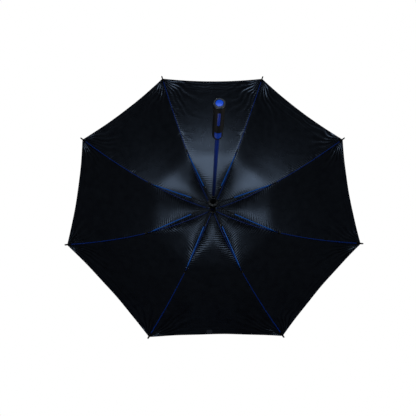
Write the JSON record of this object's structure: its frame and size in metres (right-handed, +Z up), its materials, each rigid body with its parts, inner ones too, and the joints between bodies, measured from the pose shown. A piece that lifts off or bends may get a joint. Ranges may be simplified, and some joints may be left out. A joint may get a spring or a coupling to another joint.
{
  "type": "golf umbrella",
  "caption": "Straight auto-opening golf umbrella: domed panelled canopy on folding fibreglass ribs, sliding runner and spring slider on a shaft, cylindrical push-button handle.",
  "frame": {"origin": "centre of the flat end of the handle", "axes": "+Z up the shaft to the ferrule; -Y towards the push button's side"},
  "size_m": [1.1628, 1.1628, 0.87],
  "materials": {
    "blue_fibreglass": "pultruded fibreglass rod, satin blue",
    "shaft_blue": "dark blue paint, semi-gloss",
    "bright_blue": "moulded bright blue plastic",
    "button_blue": "moulded blue plastic",
    "black_plastic": "moulded nylon, satin black",
    "black_rubber": "soft matt black grip",
    "grey_plastic": "moulded grey plastic",
    "steel": "plated spring and pin steel",
    "canopy_cloth": "thin coated pongee weave with a soft sheen, blue-black"
  },
  "bodies": {
    "root": {"shaft": "shaft_blue", "stop_pin": "steel", "notch": "black_plastic", "notch_wire": "steel", "rosette": "canopy_cloth", "ferrule": "black_plastic", "canopy": "canopy_cloth", "tie_strap": "canopy_cloth", "handle_housing": "black_plastic", "grip_sleeve": "black_rubber", "grip_stripe": "bright_blue", "end_cap_ring": "grey_plastic", "end_cap_disc": "bright_blue"},
    "rib_1": {"rib_1": "blue_fibreglass"},
    "outer_1": {"rib_connector_1": "black_plastic", "rib_outer_1": "blue_fibreglass"},
    "stretcher_1": {"stretcher_1": "blue_fibreglass"},
    "strut_1": {"strut_1": "black_plastic"},
    "rib_2": {"rib_2": "blue_fibreglass"},
    "outer_2": {"rib_connector_2": "black_plastic", "rib_outer_2": "blue_fibreglass"},
    "stretcher_2": {"stretcher_2": "blue_fibreglass"},
    "strut_2": {"strut_2": "black_plastic"},
    "rib_3": {"rib_3": "blue_fibreglass"},
    "outer_3": {"rib_connector_3": "black_plastic", "rib_outer_3": "blue_fibreglass"},
    "stretcher_3": {"stretcher_3": "blue_fibreglass"},
    "strut_3": {"strut_3": "black_plastic"},
    "rib_4": {"rib_4": "blue_fibreglass"},
    "outer_4": {"rib_connector_4": "black_plastic", "rib_outer_4": "blue_fibreglass"},
    "stretcher_4": {"stretcher_4": "blue_fibreglass"},
    "strut_4": {"strut_4": "black_plastic"},
    "rib_5": {"rib_5": "blue_fibreglass"},
    "outer_5": {"rib_connector_5": "black_plastic", "rib_outer_5": "blue_fibreglass"},
    "stretcher_5": {"stretcher_5": "blue_fibreglass"},
    "strut_5": {"strut_5": "black_plastic"},
    "rib_6": {"rib_6": "blue_fibreglass"},
    "outer_6": {"rib_connector_6": "black_plastic", "rib_outer_6": "blue_fibreglass"},
    "stretcher_6": {"stretcher_6": "blue_fibreglass"},
    "strut_6": {"strut_6": "black_plastic"},
    "rib_7": {"rib_7": "blue_fibreglass"},
    "outer_7": {"rib_connector_7": "black_plastic", "rib_outer_7": "blue_fibreglass"},
    "stretcher_7": {"stretcher_7": "blue_fibreglass"},
    "strut_7": {"strut_7": "black_plastic"},
    "rib_8": {"rib_8": "blue_fibreglass"},
    "outer_8": {"rib_connector_8": "black_plastic", "rib_outer_8": "blue_fibreglass"},
    "stretcher_8": {"stretcher_8": "blue_fibreglass"},
    "strut_8": {"strut_8": "black_plastic"},
    "runner": {"runner": "black_plastic", "runner_wire": "steel", "main_spring": "steel"},
    "slider": {"slider": "black_plastic", "slider_wire": "steel", "slider_ring": "steel"},
    "button": {"push_button": "button_blue"}
  },
  "joints": [
    {"name": "rib_1_fold", "type": "hinge", "parent": "root", "child": "rib_1", "pos_m": [0.01432, 0.00593, 0.805], "axis": [-0.3827, 0.9239, 0], "range_deg": [0, 81.72], "stiffness_Nm_per_rad": 1.5, "springref_deg": -91.67, "deforming": ["canopy", "tie_strap"]},
    {"name": "rib_1_flex", "type": "hinge", "parent": "rib_1", "child": "outer_1", "pos_m": [0.2873, 0.119, 0.77246], "axis": [-0.3827, 0.9239, 0], "range_deg": [-27.79, 0]},
    {"name": "stretcher_1_knee", "type": "hinge", "parent": "rib_1", "child": "stretcher_1", "pos_m": [0.2873, 0.119, 0.77246], "axis": [-0.3827, 0.9239, 0], "range_deg": [-163.44, 0]},
    {"name": "strut_1_elbow", "type": "hinge", "parent": "stretcher_1", "child": "strut_1", "pos_m": [0.09267, 0.03838, 0.74927], "axis": [-0.3827, 0.9239, 0], "range_deg": [0, 22.55]},
    {"name": "rib_2_fold", "type": "hinge", "parent": "root", "child": "rib_2", "pos_m": [0.00593, 0.01432, 0.805], "axis": [-0.9239, 0.3827, 0], "range_deg": [0, 81.73]},
    {"name": "rib_2_flex", "type": "hinge", "parent": "rib_2", "child": "outer_2", "pos_m": [0.119, 0.2873, 0.77246], "axis": [-0.9239, 0.3827, 0], "range_deg": [-27.79, 0]},
    {"name": "stretcher_2_knee", "type": "hinge", "parent": "rib_2", "child": "stretcher_2", "pos_m": [0.119, 0.2873, 0.77246], "axis": [-0.9239, 0.3827, 0], "range_deg": [-163.44, 0]},
    {"name": "strut_2_elbow", "type": "hinge", "parent": "stretcher_2", "child": "strut_2", "pos_m": [0.03838, 0.09267, 0.74927], "axis": [-0.9239, 0.3827, 0], "range_deg": [0, 22.55]},
    {"name": "rib_3_fold", "type": "hinge", "parent": "root", "child": "rib_3", "pos_m": [-0.00593, 0.01432, 0.805], "axis": [-0.9239, -0.3827, 0], "range_deg": [0, 81.73]},
    {"name": "rib_3_flex", "type": "hinge", "parent": "rib_3", "child": "outer_3", "pos_m": [-0.119, 0.2873, 0.77246], "axis": [-0.9239, -0.3827, 0], "range_deg": [-27.79, 0]},
    {"name": "stretcher_3_knee", "type": "hinge", "parent": "rib_3", "child": "stretcher_3", "pos_m": [-0.119, 0.2873, 0.77246], "axis": [-0.9239, -0.3827, 0], "range_deg": [-163.44, 0]},
    {"name": "strut_3_elbow", "type": "hinge", "parent": "stretcher_3", "child": "strut_3", "pos_m": [-0.03838, 0.09267, 0.74927], "axis": [-0.9239, -0.3827, 0], "range_deg": [0, 22.55]},
    {"name": "rib_4_fold", "type": "hinge", "parent": "root", "child": "rib_4", "pos_m": [-0.01432, 0.00593, 0.805], "axis": [-0.3827, -0.9239, 0], "range_deg": [0, 81.73]},
    {"name": "rib_4_flex", "type": "hinge", "parent": "rib_4", "child": "outer_4", "pos_m": [-0.2873, 0.119, 0.77246], "axis": [-0.3827, -0.9239, 0], "range_deg": [-27.79, 0]},
    {"name": "stretcher_4_knee", "type": "hinge", "parent": "rib_4", "child": "stretcher_4", "pos_m": [-0.2873, 0.119, 0.77246], "axis": [-0.3827, -0.9239, 0], "range_deg": [-163.44, 0]},
    {"name": "strut_4_elbow", "type": "hinge", "parent": "stretcher_4", "child": "strut_4", "pos_m": [-0.09267, 0.03838, 0.74927], "axis": [-0.3827, -0.9239, 0], "range_deg": [0, 22.55]},
    {"name": "rib_5_fold", "type": "hinge", "parent": "root", "child": "rib_5", "pos_m": [-0.01432, -0.00593, 0.805], "axis": [0.3827, -0.9239, 0], "range_deg": [0, 81.73]},
    {"name": "rib_5_flex", "type": "hinge", "parent": "rib_5", "child": "outer_5", "pos_m": [-0.2873, -0.119, 0.77246], "axis": [0.3827, -0.9239, 0], "range_deg": [-27.79, 0]},
    {"name": "stretcher_5_knee", "type": "hinge", "parent": "rib_5", "child": "stretcher_5", "pos_m": [-0.2873, -0.119, 0.77246], "axis": [0.3827, -0.9239, 0], "range_deg": [-163.44, 0]},
    {"name": "strut_5_elbow", "type": "hinge", "parent": "stretcher_5", "child": "strut_5", "pos_m": [-0.09267, -0.03838, 0.74927], "axis": [0.3827, -0.9239, 0], "range_deg": [0, 22.55]},
    {"name": "rib_6_fold", "type": "hinge", "parent": "root", "child": "rib_6", "pos_m": [-0.00593, -0.01432, 0.805], "axis": [0.9239, -0.3827, 0], "range_deg": [0, 81.73]},
    {"name": "rib_6_flex", "type": "hinge", "parent": "rib_6", "child": "outer_6", "pos_m": [-0.119, -0.2873, 0.77246], "axis": [0.9239, -0.3827, 0], "range_deg": [-27.79, 0]},
    {"name": "stretcher_6_knee", "type": "hinge", "parent": "rib_6", "child": "stretcher_6", "pos_m": [-0.119, -0.2873, 0.77246], "axis": [0.9239, -0.3827, 0], "range_deg": [-163.44, 0]},
    {"name": "strut_6_elbow", "type": "hinge", "parent": "stretcher_6", "child": "strut_6", "pos_m": [-0.03838, -0.09267, 0.74927], "axis": [0.9239, -0.3827, 0], "range_deg": [0, 22.55]},
    {"name": "rib_7_fold", "type": "hinge", "parent": "root", "child": "rib_7", "pos_m": [0.00593, -0.01432, 0.805], "axis": [0.9239, 0.3827, 0], "range_deg": [0, 81.73]},
    {"name": "rib_7_flex", "type": "hinge", "parent": "rib_7", "child": "outer_7", "pos_m": [0.119, -0.2873, 0.77246], "axis": [0.9239, 0.3827, 0], "range_deg": [-27.79, 0]},
    {"name": "stretcher_7_knee", "type": "hinge", "parent": "rib_7", "child": "stretcher_7", "pos_m": [0.119, -0.2873, 0.77246], "axis": [0.9239, 0.3827, 0], "range_deg": [-163.44, 0]},
    {"name": "strut_7_elbow", "type": "hinge", "parent": "stretcher_7", "child": "strut_7", "pos_m": [0.03838, -0.09267, 0.74927], "axis": [0.9239, 0.3827, 0], "range_deg": [0, 22.55]},
    {"name": "rib_8_fold", "type": "hinge", "parent": "root", "child": "rib_8", "pos_m": [0.01432, -0.00593, 0.805], "axis": [0.3827, 0.9239, 0], "range_deg": [0, 81.73]},
    {"name": "rib_8_flex", "type": "hinge", "parent": "rib_8", "child": "outer_8", "pos_m": [0.2873, -0.119, 0.77246], "axis": [0.3827, 0.9239, 0], "range_deg": [-27.79, 0]},
    {"name": "stretcher_8_knee", "type": "hinge", "parent": "rib_8", "child": "stretcher_8", "pos_m": [0.2873, -0.119, 0.77246], "axis": [0.3827, 0.9239, 0], "range_deg": [-163.44, 0]},
    {"name": "strut_8_elbow", "type": "hinge", "parent": "stretcher_8", "child": "strut_8", "pos_m": [0.09267, -0.03838, 0.74927], "axis": [0.3827, 0.9239, 0], "range_deg": [0, 22.55]},
    {"name": "runner_ride", "type": "hinge", "parent": "stretcher_1", "child": "runner", "pos_m": [0.01432, 0.00593, 0.73993], "axis": [-0.3827, 0.9239, 0], "range_deg": [0, 81.73]},
    {"name": "slider_slide", "type": "slide", "parent": "runner", "child": "slider", "axis": [0, 0, 1], "range_m": [0, 0.03178], "deforming": ["main_spring"]},
    {"name": "button_press", "type": "slide", "parent": "root", "child": "button", "axis": [0, 1, 0], "range_m": [0, 0.0023], "stiffness_N_per_m": 700, "springref_m": -0.002}
  ],
  "couplings": [
    {"joint": "rib_1_flex", "follows": "rib_1_fold", "ratio": -0.33996},
    {"joint": "stretcher_1_knee", "follows": "rib_1_fold", "ratio": -2},
    {"joint": "strut_1_elbow", "follows": "rib_1_fold", "ratio": 0.27579},
    {"joint": "rib_2_fold", "follows": "rib_1_fold", "ratio": 1},
    {"joint": "rib_2_flex", "follows": "rib_1_fold", "ratio": -0.33996},
    {"joint": "stretcher_2_knee", "follows": "rib_1_fold", "ratio": -2},
    {"joint": "strut_2_elbow", "follows": "rib_1_fold", "ratio": 0.27579},
    {"joint": "rib_3_fold", "follows": "rib_1_fold", "ratio": 1},
    {"joint": "rib_3_flex", "follows": "rib_1_fold", "ratio": -0.33996},
    {"joint": "stretcher_3_knee", "follows": "rib_1_fold", "ratio": -2},
    {"joint": "strut_3_elbow", "follows": "rib_1_fold", "ratio": 0.27579},
    {"joint": "rib_4_fold", "follows": "rib_1_fold", "ratio": 1},
    {"joint": "rib_4_flex", "follows": "rib_1_fold", "ratio": -0.33996},
    {"joint": "stretcher_4_knee", "follows": "rib_1_fold", "ratio": -2},
    {"joint": "strut_4_elbow", "follows": "rib_1_fold", "ratio": 0.27579},
    {"joint": "rib_5_fold", "follows": "rib_1_fold", "ratio": 1},
    {"joint": "rib_5_flex", "follows": "rib_1_fold", "ratio": -0.33996},
    {"joint": "stretcher_5_knee", "follows": "rib_1_fold", "ratio": -2},
    {"joint": "strut_5_elbow", "follows": "rib_1_fold", "ratio": 0.27579},
    {"joint": "rib_6_fold", "follows": "rib_1_fold", "ratio": 1},
    {"joint": "rib_6_flex", "follows": "rib_1_fold", "ratio": -0.33996},
    {"joint": "stretcher_6_knee", "follows": "rib_1_fold", "ratio": -2},
    {"joint": "strut_6_elbow", "follows": "rib_1_fold", "ratio": 0.27579},
    {"joint": "rib_7_fold", "follows": "rib_1_fold", "ratio": 1},
    {"joint": "rib_7_flex", "follows": "rib_1_fold", "ratio": -0.33996},
    {"joint": "stretcher_7_knee", "follows": "rib_1_fold", "ratio": -2},
    {"joint": "strut_7_elbow", "follows": "rib_1_fold", "ratio": 0.27579},
    {"joint": "rib_8_fold", "follows": "rib_1_fold", "ratio": 1},
    {"joint": "rib_8_flex", "follows": "rib_1_fold", "ratio": -0.33996},
    {"joint": "stretcher_8_knee", "follows": "rib_1_fold", "ratio": -2},
    {"joint": "strut_8_elbow", "follows": "rib_1_fold", "ratio": 0.27579},
    {"joint": "runner_ride", "follows": "rib_1_fold", "ratio": 1},
    {"joint": "slider_slide", "follows": "rib_1_fold", "m_per_rad": 0.022267}
  ]
}
